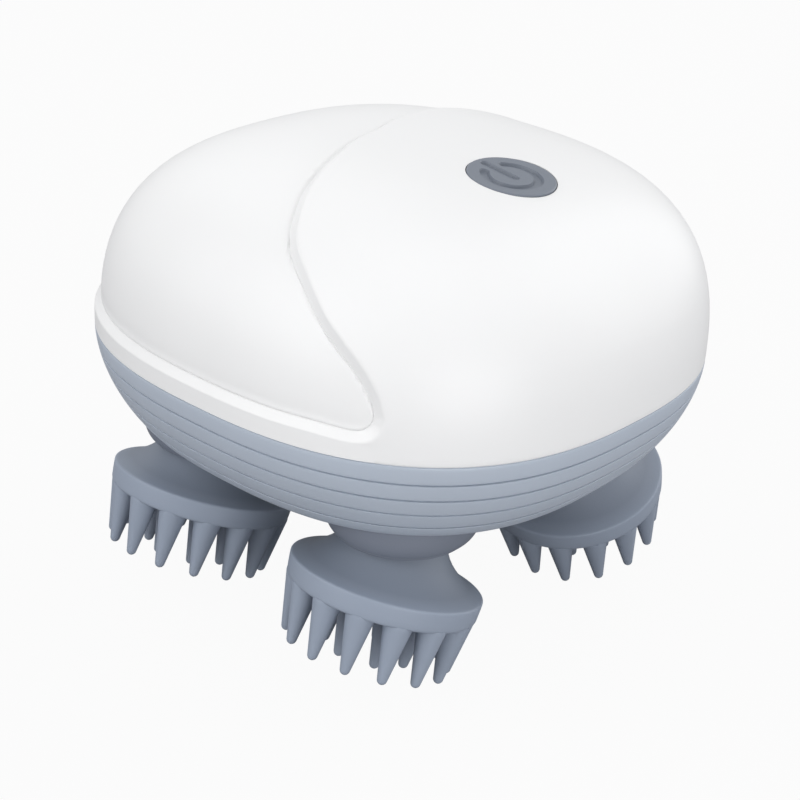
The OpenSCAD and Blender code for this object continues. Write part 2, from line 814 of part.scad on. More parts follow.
head_hub(1, 1);  // head_hub_rear_right
head_claw(-1, -1);  // head_claw_front_left
head_claw(1, -1);  // head_claw_front_right
head_claw(-1, 1);  // head_claw_rear_left
head_claw(1, 1);  // head_claw_rear_right
head_screw(-1, -1);  // head_screw_front_left
head_screw(1, -1);  // head_screw_front_right
head_screw(-1, 1);  // head_screw_rear_left
head_screw(1, 1);  // head_screw_rear_right
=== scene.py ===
"""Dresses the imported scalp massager: smooth skins, claws and button, finishes, camera, studio.

Shapes are worked out in millimetres in the part's frame and put into meshes in metres.
"""

import json
import math

import bpy
import numpy as np
from mathutils import Matrix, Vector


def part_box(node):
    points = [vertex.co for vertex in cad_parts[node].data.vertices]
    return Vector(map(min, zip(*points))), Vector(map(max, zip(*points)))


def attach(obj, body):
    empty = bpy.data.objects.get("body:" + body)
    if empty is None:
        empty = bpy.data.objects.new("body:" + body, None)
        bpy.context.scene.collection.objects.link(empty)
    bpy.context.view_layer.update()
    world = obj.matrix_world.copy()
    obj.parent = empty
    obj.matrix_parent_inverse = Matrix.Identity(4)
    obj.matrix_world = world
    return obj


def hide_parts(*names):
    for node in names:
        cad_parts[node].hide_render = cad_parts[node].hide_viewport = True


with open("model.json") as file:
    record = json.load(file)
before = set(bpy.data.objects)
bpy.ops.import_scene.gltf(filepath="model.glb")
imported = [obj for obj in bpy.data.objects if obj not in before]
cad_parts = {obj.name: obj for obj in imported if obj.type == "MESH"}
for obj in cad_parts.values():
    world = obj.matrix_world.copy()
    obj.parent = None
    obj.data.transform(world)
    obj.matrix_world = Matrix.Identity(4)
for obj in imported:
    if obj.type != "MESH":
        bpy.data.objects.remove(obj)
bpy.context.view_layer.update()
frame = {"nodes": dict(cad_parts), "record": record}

MM = 1000  # millimetres in a metre

# Body, in millimetres, as in the part's source. Powers are those of its superellipses
HALF_W, HALF_L, DOME_H, BASE_D = 54.0, 56.0, 37.5, 20.0
PLAN_POW, SIDE_POW, DOME_POW, BASE_POW = 2.5, 3.3, 2.65, 1.74
BASE_FULL_D = 30.0
EDGE_R = 3.0
WALL = 2.6
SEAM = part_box("base_shell")[1][2] * MM
HOLLOW_Z = -17.4
POSTS = ((36, 0), (-36, 0), (0, 38.5), (0, -38.5))
POST_R, SCREW_R, RECESS_R, RECESS_Z = 3.6, 1.25, 2.5, -12

# Charging port and its rubber plug, in the rear of the base
PORT_Z, PORT_HALF, PORT_FLOOR_Y = -8, (6.0, 3.0), 52.9
PLUG_HALF, PLUG_BACK_Y = (5.8, 2.8), 53.2

# Heads and the collars round their necks
TILT = math.radians(19)
HEAD_X, HEAD_Y, HEAD_DROP = 28.4, 24.6, 33.4
COLLAR_DROP = 24
COLLAR_X = HEAD_X - (HEAD_DROP - COLLAR_DROP) * math.tan(TILT)
SOCKET_R, BORE_R, BOWL_R, BOWL_DROP = 12.2, 11.0, 14.5, 4.6
RIM_H, FINGER_LEN, ROOT_R, TIP_R = 4.2, 11.5, 2.78, 0.95
FINGER_ROWS = ((14, 15.3, 0), (7, 7.956, 0.5))  # count, radius and turn in finger steps

# Power button and its symbol: the bar runs from the first height to the second
BUTTON_Y, BUTTON_R, BUTTON_HOLE_R = 23.6, 8.2, 8.35
ICON_R, ICON_BAR, ICON_HALF_W, ICON_DEPTH = 4.9, (-0.7, 6.2), 0.95, 0.55
ICON_GAP = 34  # degrees to each side of the bar


# ---------- grids and meshes ----------

def spow(v, p):
    """v to the power p, with the sign of v kept."""
    return np.sign(v) * np.abs(v) ** p


def ease(t):
    """Smooth step from 0 to 1: 3 t squared less 2 t cubed, with t held between 0 and 1."""
    t = np.clip(t, 0, 1)
    return t * t * (3 - 2 * t)


def stack(*parts):
    """Column of x, y and z arrays, spread to one shape, as points."""
    return np.stack(np.broadcast_arrays(*parts), axis=-1).astype(float)


def lathe(profile, sides):
    """Rings of a turned shape: each (radius, height) of the profile goes once round z."""
    profile = np.array(profile, float)
    a = 2 * np.pi * np.arange(sides) / sides
    r, z = profile[:, :1], profile[:, 1:]
    return stack(r * np.cos(a), r * np.sin(a), z)


def rounded(corners, steps=5):
    """Open profile whose inner corners are arcs: each corner is (x, y, radius), and the arc
    is the quadratic curve between the points one radius before and after the corner."""
    out = []
    c = [np.array(p[:2], float) for p in corners]
    for i, p in enumerate(c):
        radius = corners[i][2] if len(corners[i]) > 2 else 0
        if radius == 0 or i in (0, len(c) - 1):
            out.append(p)
            continue
        before, after = c[i - 1] - p, c[i + 1] - p
        a = p + before / np.linalg.norm(before) * radius
        b = p + after / np.linalg.norm(after) * radius
        for t in np.linspace(0, 1, steps):
            out.append((1 - t) ** 2 * a + 2 * t * (1 - t) * p + t * t * b)
    return np.array(out)


def sheet(rings, along=False, poles=(False, False)):
    """Points and faces of a grid of closed rings. along joins the last ring to the first,
    and a pole closes an end with a fan to its middle."""
    rings = np.asarray(rings, float)
    rows, cols = rings.shape[:2]
    points = rings.reshape(-1, 3)
    i = np.arange(rows if along else rows - 1)[:, None]
    j = np.arange(cols)[None, :]
    i2, j2 = (i + 1) % rows, (j + 1) % cols
    quads = np.stack([i * cols + j, i * cols + j2, i2 * cols + j2, i2 * cols + j], -1)
    faces = [quads.reshape(-1, 4)]
    for pole, row, flip in ((poles[0], 0, True), (poles[1], rows - 1, False)):
        if pole:
            mid = len(points)
            points = np.vstack([points, rings[row].mean(0)])
            a = row * cols + np.arange(cols)
            b = row * cols + (np.arange(cols) + 1) % cols
            rim = [b, a] if flip else [a, b]
            faces.append(np.stack(rim + [np.full(cols, mid)], -1))
    return points, faces


def joined(shapes):
    """One list of points and faces out of several."""
    points, faces, base = [], [], 0
    for p, f in shapes:
        points.append(p)
        faces += [g + base for g in f]
        base += len(p)
    return np.vstack(points), faces


SHARP_ANGLE = 40


def piece(name, shape, body, replaced=(), sharp=SHARP_ANGLE):
    """Object from points in millimetres and faces. It rides on a body, takes the place of
    CAD nodes and is smooth except at edges sharper than the angle."""
    points, faces = shape
    mesh = bpy.data.meshes.new(name)
    counts = np.concatenate([np.full(len(f), f.shape[1]) for f in faces])
    loops = np.concatenate([f.ravel() for f in faces])
    mesh.vertices.add(len(points))
    mesh.vertices.foreach_set("co", (points / MM).ravel())
    mesh.loops.add(len(loops))
    mesh.loops.foreach_set("vertex_index", loops)
    mesh.polygons.add(len(counts))
    mesh.polygons.foreach_set("loop_start", np.concatenate([[0], np.cumsum(counts)[:-1]]))
    mesh.polygons.foreach_set("use_smooth", np.ones(len(counts), bool))
    mesh.update(calc_edges=True)
    mesh.validate()
    mesh.set_sharp_from_angle(angle=math.radians(sharp))
    obj = bpy.data.objects.new(name, mesh)
    bpy.context.scene.collection.objects.link(obj)
    if body:
        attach(obj, body)
    if replaced:
        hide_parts(*replaced)
    return obj


def subtract(obj, tool):
    """Takes a closed object out of another one."""
    cut = obj.modifiers.new("carve", "BOOLEAN")
    cut.operation, cut.solver, cut.object = "DIFFERENCE", "EXACT", tool
    scene_now = bpy.context.evaluated_depsgraph_get()
    done = bpy.data.meshes.new_from_object(obj.evaluated_get(scene_now))
    obj.modifiers.clear()
    obj.data = done
    done.polygons.foreach_set("use_smooth", np.ones(len(done.polygons), bool))
    done.set_sharp_from_angle(angle=math.radians(SHARP_ANGLE))


def carve(obj, cutters):
    """Takes the cutters' shapes, joined in one mesh, out of a closed piece."""
    tool = piece(obj.name + "_cutter", joined(cutters), None)
    subtract(obj, tool)
    bpy.data.objects.remove(tool)


def placed(points, origin, z_axis, x_axis=(1, 0, 0)):
    """Points of a local frame put at an origin, with their z along an axis."""
    z = np.array(z_axis, float) / np.linalg.norm(z_axis)
    x = np.array(x_axis, float) - np.dot(x_axis, z) * z
    x /= np.linalg.norm(x)
    return np.asarray(points) @ np.array([x, np.cross(z, x), z]) + np.array(origin, float)


# ---------- the dome ----------

# Arc length up the shell from the seam, for each latitude, on the middle of the two half-axes
_lat = np.linspace(0, np.pi / 2, 20001)
_mid = (HALF_W + HALF_L) / 2
_out_step = np.diff(_mid * np.cos(_lat) ** (2 / SIDE_POW))
_up_step = np.diff(DOME_H * np.sin(_lat) ** (2 / DOME_POW))
_arc = np.concatenate([[0], np.cumsum(np.hypot(_out_step, _up_step))])
TOP_ARC = _arc[-1]


def plan_reach(az, hx, hy):
    """Distance from the middle to the plan's superellipse in the direction az."""
    across, along = np.abs(np.cos(az) / hx), np.abs(np.sin(az) / hy)
    return (across ** PLAN_POW + along ** PLAN_POW) ** (-1 / PLAN_POW)


def dome(az, reach, inset):
    """Point of the dome at a direction az and an arc distance reach from its top, moved in
    by inset. Latitude u closes the plan by cos(u)^(2/3.3) and rises as sin(u)^(2/2.65)."""
    lat = np.interp(TOP_ARC - reach, _arc, _lat)
    out = np.cos(lat) ** (2 / SIDE_POW) * plan_reach(az, HALF_W - inset, HALF_L - inset)
    return stack(out * np.cos(az), out * np.sin(az),
                 SEAM + (DOME_H - inset) * np.sin(lat) ** (2 / DOME_POW))


# Edge of the panel's recess, anticlockwise, as seen on the dome unrolled round its top: x, y
LEDGE = TOP_ARC - 3.6
S_KNOTS = [(65.5, -33.2), (63, -30), (60.6, -24), (57.5, -16.5), (53, -9), (47, -2), (38, 5),
           (28, 10), (18, 11.6), (8, 10.2), (-3, 7.4), (-14, 4.1), (-26.7, -1.1), (-35.5, -6),
           (-42.2, -11.2), (-46.2, -18.2), (-49, -24.5), (-50.3, -30), (-51.4, -36),
           (-53, -40.8), (-55.2, -43.7), (-58.2, -44.2), (-61.8, -42)]


def smooth_loop(knots, steps=40):
    """Closed Catmull-Rom curve through the knots."""
    p = np.array(knots, float)
    t = np.linspace(0, 1, steps, endpoint=False)[None, :, None]
    a, b, c, d = (np.roll(p, k, 0)[:, None] for k in (1, 0, -1, -2))
    curve = 0.5 * (2 * b + (c - a) * t + (2 * a - 5 * b + 4 * c - d) * t ** 2
                   + (3 * b - a - 3 * c + d) * t ** 3)
    return curve.reshape(-1, 2)


_along = np.radians(np.arange(208, -22, -10))
recess = smooth_loop(S_KNOTS + [(LEDGE * math.cos(a), LEDGE * math.sin(a)) for a in _along]
                     + [(LEDGE * math.cos(-0.38), LEDGE * math.sin(-0.38)), (68.6, -32.2)])
recess_az = np.unwrap(np.arctan2(recess[:, 1], recess[:, 0]))
recess_reach = np.hypot(recess[:, 0], recess[:, 1])
recess_on_dome = dome(recess_az, recess_reach, 0)


def branches(az):
    """Where the recess starts and ends along each direction from the top. Outside its two
    tips both are the tip's own distance."""
    first, last = int(np.argmin(recess_az)), int(np.argmax(recess_az))
    order = np.arange(first, last + 1) if first < last else np.r_[first:len(recess_az), 0:last + 1]
    other = np.setdiff1d(np.arange(len(recess_az)), order[1:-1])
    near = np.interp(az, recess_az[order], recess_reach[order])
    back = other[np.argsort(recess_az[other])]
    far = np.interp(az, recess_az[back], recess_reach[back])
    return near, far


def depth_in_recess(points, az, reach):
    """Distance from the recess's edge over the dome, positive inside it."""
    near, far = branches(az)
    low, high = recess_az.min(), recess_az.max()
    inside = (reach > near) & (reach < far) & (az > low) & (az < high)
    flat = points.reshape(-1, 3)
    gap = np.concatenate([
        np.sqrt(((part[:, None] - recess_on_dome[None]) ** 2).sum(-1).min(1))
        for part in np.array_split(flat, 80)]).reshape(reach.shape)
    return np.where(inside, gap, -gap)


# Directions of the dome's columns, closest together where the recess's edge runs down the side
_turns = np.array([-37, 12, 158, 222, 323])
_cols = np.array([100, 146, 190, 90])
AZ = np.radians(np.concatenate([np.linspace(a, b, n, endpoint=False)
                                for a, b, n in zip(_turns[:-1], _turns[1:], _cols)]))


def recess_rows(az):
    """Arc distances from the top for every row and direction: rows crowd on both edges of
    the recess, and their offsets shrink where the recess is too narrow for them."""
    near, far = branches(az)
    room = np.maximum(far - near, 0) / 2
    before = np.array([7, 4.8, 3.3, 2.3, 1.6, 1.1, 0.7, 0.4, 0.2, 0])
    after = np.array([0.25, 0.5, 0.75, 1, 1.25, 1.5, 1.7, 1.85, 2.05, 2.4, 3, 4.2, 6])
    rows = [near * f for f in np.linspace(0.02, 1, 24) ** 0.8 * 0.999]
    rows = [np.minimum(r, near - 0.01 * (24 - k)) for k, r in enumerate(rows)]
    slack = np.minimum(near / 9, 1)
    rows = [r * (near - 7 * slack - 0.2) / near for r in rows]
    rows += [near - b * slack for b in before]
    scale = np.minimum(1, room / 7)
    rows += [near + a * scale for a in after]
    mid = (near + 6 * scale, far - 6 * scale)
    rows += [mid[0] + (mid[1] - mid[0]) * f for f in np.linspace(0, 1, 12)[1:-1]]
    rows += [far - a * scale for a in after[::-1]]
    below = TOP_ARC - far
    rows += [far + below * f for f in (0, 0.04, 0.08, 0.14, 0.22, 0.34, 0.5, 0.68, 0.84, 0.95)]
    return np.array(rows)


# How far the surface lies in, by the distance from the recess's edge: a rounded lip, a
# sloping step and then the floor under the panel
STEP_D = [-3, -1.6, -0.8, -0.3, 0, 0.25, 0.6, 1.1, 1.45, 1.62, 1.7, 1.85]
STEP_IN = [0, -0.05, -0.1, -0.06, 0.06, 0.22, 0.48, 0.82, 1.02, 1.1, 1.3, 1.7]
PANEL_D = [1.62, 1.7, 1.8, 2.0, 2.6, 4]
PANEL_IN = [1.5, 1.22, 1.08, 1.0, 1.0, 1.0]


def dome_main():
    """The main shell: the dome with its recess, turned in at the seam and closed inside."""
    reach = recess_rows(AZ)
    az = np.broadcast_to(AZ, reach.shape)
    depth = depth_in_recess(dome(az, reach, 0), az, reach)
    inset = np.interp(depth, STEP_D, STEP_IN)
    inset = np.where(reach > TOP_ARC - 3.4, np.maximum(inset, 0), inset)
    outer = dome(az, reach, inset)
    lip = [dome(AZ, TOP_ARC - 0.25, 0.03), dome(AZ, TOP_ARC, 0.25), dome(AZ, TOP_ARC, 0.7)]
    inner = [dome(AZ, r, WALL) for r in (77.8, 70, 56, 44, 32, 20, 10)]
    rings = np.concatenate([outer, lip, np.array(inner)])
    return sheet(rings[::-1], poles=(True, True))


PANEL_GAP, PANEL_BACK = 1.66, 1.75


def dome_panel():
    """The side panel: a thin closed sheet in the recess whose edge turns down into a groove.
    It sags by 0.3 exp(-(d/1.6)^2) next to the ledge, where d is the distance from it."""
    low, high = recess_az.min(), recess_az.max()
    u = np.linspace(0, 1, 420)
    az = low + 0.022 + (high - low - 0.044) * (u - 0.9 * np.sin(2 * np.pi * u) / (2 * np.pi))
    near, far = branches(az)
    room = (far - near) / 2
    offs = np.array([0, 0.12, 0.3, 0.6, 1.1, 1.8, 2.8, 4.2, 6])
    start = np.minimum(PANEL_GAP, room * 0.9)
    scale = np.clip((room - start) / 7, 0.001, 1)
    rows = [near + start + o * scale for o in offs]
    mid = (rows[-1], far - start - 6 * scale)
    rows += [mid[0] + (mid[1] - mid[0]) * f for f in np.linspace(0, 1, 26)[1:-1]]
    rows += [far - start - o * scale for o in offs[::-1]]
    reach = np.array(rows)
    grid_az = np.broadcast_to(az, reach.shape)
    depth = depth_in_recess(dome(grid_az, reach, 0), grid_az, reach)
    sag = 0.3 * np.exp(-(np.maximum(far - reach - 1.6, 0) / 1.6) ** 2) * ease((depth - 1.6) / 1.5)
    front = dome(grid_az, reach, np.interp(depth, PANEL_D, PANEL_IN) + sag)
    back = dome(grid_az, reach, PANEL_BACK)[::-1]
    return sheet(np.concatenate([front, back]).transpose(1, 0, 2), poles=(True, True))


# ---------- the base ----------

# Depths of the grooves' middles below the seam
GROOVES = (3.6, 7.2, 10.9, 14.8)
# Half widths and depths of a groove's section, from its rim to its flat bottom
GROOVE_WALL = ((0.4, 0), (0.24, 0.02), (0.17, 0.12), (0.12, 0.5))


def base_scale(z):
    """Share of the plan that is left at a height z, negative below the seam: it closes towards
    a point 30 mm down as (1 - (-z/30)^1.74)^(1/3.3)."""
    return (1 - (-z / BASE_FULL_D) ** BASE_POW) ** (1 / SIDE_POW)


def base_ring(z, inset):
    """Ring of the base's side at a height z: the plan's superellipse with its half-axes
    scaled for the height and then made smaller by inset."""
    k = base_scale(z)
    az = np.linspace(0, 2 * np.pi, 400, endpoint=False)
    out = plan_reach(az, HALF_W * k - inset, HALF_L * k - inset)
    return stack(out * np.cos(az), out * np.sin(az), SEAM + z)


def base_profile():
    """Heights and insets down the base: fine flat-bottomed grooves, then the rounding to the
    flat underside."""
    steps = [(0, 0.7), (0, 0.25), (-0.12, 0.06), (-0.35, 0)]
    rim_w = GROOVE_WALL[0][0]
    last = 0.35
    for g in GROOVES:
        steps += [(-z, 0) for z in np.linspace(last, g - rim_w, 7)[1:]]
        steps += [(-(g - w), depth) for w, depth in GROOVE_WALL[1:]]
        steps += [(-(g + w), depth) for w, depth in GROOVE_WALL[::-1]]
        last = g + rim_w
    steps += [(-z, 0) for z in np.linspace(last, BASE_D - EDGE_R, 4)[1:]]
    turn = np.radians(np.linspace(10, 90, 9))
    steps += list(zip(-BASE_D + EDGE_R - EDGE_R * np.sin(turn), EDGE_R - EDGE_R * np.cos(turn)))
    return steps


def base_skin():
    """The base: its side, its flat underside and a plain hollow inside."""
    outer = [base_ring(z, i) for z, i in base_profile()]
    inner = [base_ring(HOLLOW_Z * f, WALL + i)
             for f, i in ((1, 4), (1, 1.8), (0.8, 0.2), (0.5, 0), (0.2, 0))]
    inner.append(base_ring(0, 1.6))
    flat = [outer[-1] * [f, f, 1] for f in (0.8, 0.5, 0.2)]
    floor = [inner[0] * [f, f, 1] for f in (0.2, 0.5, 0.8)]
    rings = np.array(outer + flat)
    inside = np.array(floor + inner)
    return sheet(np.concatenate([inside, rings])[::-1], poles=(True, True))


def base_posts():
    """The posts that the case screws go up through, each with the screw's recess from below."""
    foot = 0.1 - BASE_D
    post = lathe([(RECESS_R, foot), (RECESS_R, RECESS_Z), (SCREW_R, RECESS_Z), (SCREW_R, -1),
                  (POST_R, -1), (POST_R, -18.5), (POST_R, foot)], 48)
    return joined([sheet((post + [x, y, SEAM])[::-1], along=True) for x, y in POSTS])


# ---------- collars and claws ----------

def collar(side, end):
    """Bowl-shaped skirt round a neck: a quarter ellipse, a fine lip at its foot and a straight
    bore, turned about an upright axis. Its top stands inside the base, which is cut away
    from it, so that the skirt meets the base's curved side."""
    a = np.radians(np.linspace(0, 82, 14))
    bowl = np.stack([12.15 + 2.35 * np.cos(a), -4.25 * np.sin(a) / math.sin(a[-1])], -1)
    foot = rounded([(12.47, -4.25), (12.5, -BOWL_DROP, 0.14), (11.6, -BOWL_DROP, 0.3),
                    (BORE_R, -4.0, 0.3), (BORE_R, 2.55)])
    profile = np.vstack([[(BOWL_R - 0.02, 2.55), (BOWL_R, 1.3)], bowl, foot])
    rings = lathe(profile, 112)[::-1]
    return sheet(rings + [side * COLLAR_X, end * HEAD_Y, SEAM - BASE_D], along=True)


# Turned outline of a claw from its underside up the rim and the flare to the neck
CLAW_OUTLINE = [(2.6, -2.4), (2.6, -3.9), (2.9, -4.2), (8, -4.2), (14, -4.2), (17.2, -4.2),
                (17.75, -4.12), (17.95, -3.9), (18.05, -3.6), (18.15, -2.6), (18.25, -1.4),
                (18.3, -0.5), (18.29, -0.3), (18.22, -0.14), (18.05, 0.0), (17.7, 0.13),
                (17.0, 0.38), (15.9, 0.86), (14.7, 1.48), (13.5, 2.25), (12.4, 3.15),
                (11.3, 4.25), (10.4, 5.4), (9.7, 6.6), (9.2, 7.9), (8.85, 9.2), (8.6, 10.2),
                (8.3, 10.75), (7.7, 11), (6, 11), (6, -0.9), (13, -0.9), (13, -2.4)]


def finger(foot):
    """One finger, closed at both ends: its radius falls evenly from root to tip, and the tip
    is a ball."""
    z = np.array([-0.4, 0.05, 0.4, 1, 2, 3.5, 5, 6.5, 8, 9.4, 10.45])
    r = ROOT_R - (ROOT_R - TIP_R - 0.02) * np.maximum(z, 0) / 10.5
    a = np.radians([14, 32, 50, 68, 82])
    r = np.r_[r, TIP_R * np.cos(a)]
    z = np.r_[z, FINGER_LEN - TIP_R + TIP_R * np.sin(a)]
    rings = lathe(np.stack([r, -RIM_H - z], -1), 20)
    return sheet((rings + [foot[0], foot[1], 0])[::-1], poles=(True, True))


def claw(side, end):
    """A head's soft claw, made upright and then put on its tilted axis: the turned skin, and
    two rings of fingers under it at even turns."""
    shapes = [sheet(lathe(CLAW_OUTLINE, 120), along=True)]
    start = math.pi if side > 0 else 0
    for count, radius, shift in FINGER_ROWS:
        for a in start + 2 * np.pi * (np.arange(count) + shift) / count:
            shapes.append(finger((radius * math.cos(a), radius * math.sin(a))))
    points, faces = joined(shapes)
    axis = (-side * math.sin(TILT), 0, math.cos(TILT))
    return placed(points, (side * HEAD_X, end * HEAD_Y, SEAM - HEAD_DROP), axis,
                  (math.cos(TILT), 0, side * math.sin(TILT))), faces


# ---------- the power button ----------

_rho = BUTTON_Y / HALF_L
BUTTON_Z = DOME_H * (1 - _rho ** SIDE_POW) ** (1 / DOME_POW)
BUTTON_LEAN = math.atan(DOME_H / DOME_POW * SIDE_POW * _rho ** (SIDE_POW - 1) / HALF_L
                        * (1 - _rho ** SIDE_POW) ** (1 / DOME_POW - 1))
BUTTON_AXIS = (0, -math.sin(BUTTON_LEAN), math.cos(BUTTON_LEAN))


def in_button(shape):
    """Puts a shape made round the button's axis in its place on the dome."""
    points, faces = shape
    return placed(points, (0, -BUTTON_Y, SEAM + BUTTON_Z), BUTTON_AXIS), faces


def icon_depth(x, y):
    """Depth of the engraved power symbol: an open ring and a bar, each a groove whose
    depth eases from its rim to a flat floor."""
    r = np.hypot(x, y)
    ang = np.degrees(np.arctan2(y, x))
    away = np.abs((ang - 90 + 180) % 360 - 180)
    end_gap = np.radians(np.maximum(0, ICON_GAP - away)) * ICON_R
    arc = np.hypot(r - ICON_R, end_gap)
    bar = np.hypot(x, y - np.clip(y, *ICON_BAR))
    near = np.minimum(arc, bar)
    return ICON_DEPTH * ease((ICON_HALF_W - near) / 0.24)


def button_cap():
    """The button: a cap dished by 0.1 mm as 1 - (r/8.2)^2, less the engraved symbol's depth,
    with a quarter ellipse for its rim, and below it the flange and the stem."""
    r = np.r_[np.linspace(0.12, 7.7, 62), 7.85, 7.98, 8.08, 8.15, 8.19]
    a = np.linspace(0, 2 * np.pi, 260, endpoint=False)
    x, y = r[:, None] * np.cos(a), r[:, None] * np.sin(a)
    edge = 0.35 * (1 - np.sqrt(np.clip(1 - ((r - 7.84) / 0.36).clip(0, 1) ** 2, 0, 1)))
    z = -0.02 - 0.10 * (1 - (r / BUTTON_R) ** 2) - edge
    top = stack(x, y, z[:, None] - icon_depth(x, y))
    side = [(BUTTON_R, -0.5), (BUTTON_R, -3.6), (9.3, -3.65), (9.3, -4.5), (3, -4.5), (3, -8.5)]
    return sheet(np.concatenate([top, lathe(side, 260)])[::-1], poles=(True, True))


# ---------- the port's plug ----------

def oblong(half_w, half_h):
    """Round-cornered oblong: x is half_w cos(u)^0.35 and z is half_h sin(u)^0.45, signs kept."""
    u = np.linspace(0, 2 * np.pi, 72, endpoint=False)
    return half_w * spow(np.cos(u), 0.35), half_h * spow(np.sin(u), 0.45)


def plug_cover():
    """Soft plug over the charging port: oblong rings that grow from the middle and lie on the
    base's side, y = 56 k (1 - (x / 54 k)^2.5)^(1/2.5), with a grip ridge that falls off from
    its middle as exp(-(dz/0.5)^2), and the plug's tongue behind."""
    x0, z0 = oblong(*PLUG_HALF)
    rings = []
    for grow, lift in ((0.02, 0.1), (0.35, 0.1), (0.62, 0.08), (0.85, 0.06), (0.95, 0.0),
                       (1.0, -0.14), (1.0, -1.1)):
        x, z = x0 * grow, PORT_Z + z0 * grow
        k = base_scale(z)
        y = HALF_L * k * (1 - np.abs(x / (HALF_W * k)) ** PLAN_POW) ** (1 / PLAN_POW)
        ridge = 0.35 * np.exp(-((z - PORT_Z) / 0.5) ** 2) * (np.abs(x) < 3.2)
        rings.append(stack(x, y - 0.25 + lift + (ridge if lift > 0.05 else 0), SEAM + z))
    plate = sheet(np.array(rings), poles=(True, True))
    v = np.array([[-3.6, -0.8], [3.6, -0.8], [3.6, 0.8], [-3.6, 0.8]])
    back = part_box("port_plug")[0][1] * MM
    tongue = np.array([stack(v[:, 0], y, SEAM + PORT_Z + v[:, 1]) for y in (PLUG_BACK_Y, back)])
    return joined([plate, sheet(tongue, poles=(True, True))])


# ---------- finishes ----------

class Wire:
    """One output of a shader node. Arithmetic on wires and numbers adds Math nodes."""

    def __init__(self, finish, socket):
        self.finish, self.socket = finish, socket

    def _math(self, operation, a, b):
        return self.finish.add("ShaderNodeMath", {"operation": operation}, {0: a, 1: b})

    def __add__(self, other):
        return self._math("ADD", self, other)

    __radd__ = __add__

    def __sub__(self, other):
        return self._math("SUBTRACT", self, other)

    def __rsub__(self, other):
        return self._math("SUBTRACT", other, self)

    def __mul__(self, other):
        return self._math("MULTIPLY", self, other)

    __rmul__ = __mul__


class Finish:
    """A material's nodes. add() makes a node: its settings go in before its sockets."""

    def __init__(self, name, colour, roughness, **fixed):
        self.material = bpy.data.materials.new(name)
        self.material.use_nodes = True
        self.tree = self.material.node_tree
        self.shader = self.tree.nodes["Principled BSDF"]
        self.set(**{"Base Color": (*colour, 1), "Roughness": roughness, **fixed})
        self.place = self.add("ShaderNodeTexCoord", output="Object")

    def add(self, kind, settings=None, sockets=None, output=0):
        node = self.tree.nodes.new(kind)
        for key, value in (settings or {}).items():
            if key == "stops":
                ramp = node.color_ramp.elements
                while len(ramp) < len(value):
                    ramp.new(0.5)
                for stop, (at, grey) in zip(ramp, value):
                    stop.position, stop.color = at, (grey, grey, grey, 1)
            else:
                setattr(node, key, value)
        for key, value in (sockets or {}).items():
            self.feed(node.inputs[key], value)
        return Wire(self, node.outputs[output])

    def feed(self, socket, value):
        if isinstance(value, Wire):
            self.tree.links.new(value.socket, socket)
        else:
            socket.default_value = value

    def set(self, **sockets):
        for key, value in sockets.items():
            self.feed(self.shader.inputs[key], value)

    def noise(self, size_mm, detail=2.0, place=None):
        """Noise whose lumps are about size_mm across."""
        return self.add("ShaderNodeTexNoise", None,
                        {"Vector": place or self.place, "Scale": MM / size_mm, "Detail": detail})

    def ramp(self, value, *stops):
        return self.add("ShaderNodeValToRGB", {"stops": stops}, {0: value})

    def blend(self, factor, low, high):
        """Colour between low and high."""
        return self.add("ShaderNodeMix", {"data_type": "RGBA"},
                        {0: factor, 6: (*low, 1), 7: (*high, 1)}, 2)

    def bump(self, height, depth_mm):
        self.set(Normal=self.add("ShaderNodeBump", None, {
            "Height": height, "Strength": 1.0, "Distance": depth_mm / MM}))


def shade(colour, factor):
    return tuple(c * factor for c in colour)


def moulded(name, colour, roughness, grain, depth, mottle=0.03, **fixed):
    """Moulded plastic: faint cloudy colour, roughness that drifts, and a fine even grain."""
    f = Finish(name, colour, roughness, **fixed)
    cloud = f.noise(22, 3)
    fine = f.noise(grain, 2)
    f.set(**{"Base Color": f.blend(cloud, shade(colour, 1 - mottle), shade(colour, 1 + mottle)),
             "Roughness": roughness + 0.10 * (cloud - 0.5) + 0.06 * (fine - 0.5)})
    f.bump(fine, depth)
    return f.material


# Painted shade on the claws' flare: how fast it deepens per metre of height towards the neck, and
# where it starts at the rim
NECK_SHADE_PER_M, NECK_SHADE_AT_RIM = 700, 0.15


def claw_silicone(name, colour, neck_shade_tone):
    """Soft silicone with painted shade: its colour darkens with height above the rim towards the
    neck, where the body shades the flare. The height along the head's axis is (z - z0) cos 19 less
    (|x| - 28.4) sin 19, and the painted shade turns over 1.4 mm."""
    f = Finish(name, colour, 0.5)
    cloud, fine = f.noise(22, 3), f.noise(0.4, 2)
    x = f.add("ShaderNodeSeparateXYZ", None, {0: f.place}, 0)
    z = f.add("ShaderNodeSeparateXYZ", None, {0: f.place}, 2)
    out = f.add("ShaderNodeMath", {"operation": "ABSOLUTE"}, {0: x}) - HEAD_X / MM
    height = (z - (SEAM - HEAD_DROP) / MM) * math.cos(TILT) - out * math.sin(TILT)
    # Painted shade: the colour gets darker with height towards the neck, where the body above
    # shades the flare
    painted_neck_shade = f.ramp(height * NECK_SHADE_PER_M + NECK_SHADE_AT_RIM, (0, 0), (1, 1))
    f.set(**{"Base Color": f.blend(painted_neck_shade, colour, shade(colour, neck_shade_tone)),
             "Roughness": 0.5 + 0.10 * (cloud - 0.5) + 0.06 * (fine - 0.5)})
    f.bump(fine, 0.015)
    return f.material


def turned_metal(name, colour, roughness, **fixed):
    """Machined metal: thin streaks from stretched noise in colour and roughness."""
    f = Finish(name, colour, roughness, Metallic=1.0, **fixed)
    stretched = f.add("ShaderNodeMapping", None, {"Vector": f.place, "Scale": (0.15, 4, 4)})
    streaks = f.noise(1, 2, stretched)
    f.set(**{"Base Color": f.blend(streaks, shade(colour, 0.88), shade(colour, 1.08)),
             "Roughness": roughness + 0.16 * (streaks - 0.5)})
    f.bump(streaks, 0.01)
    return f.material


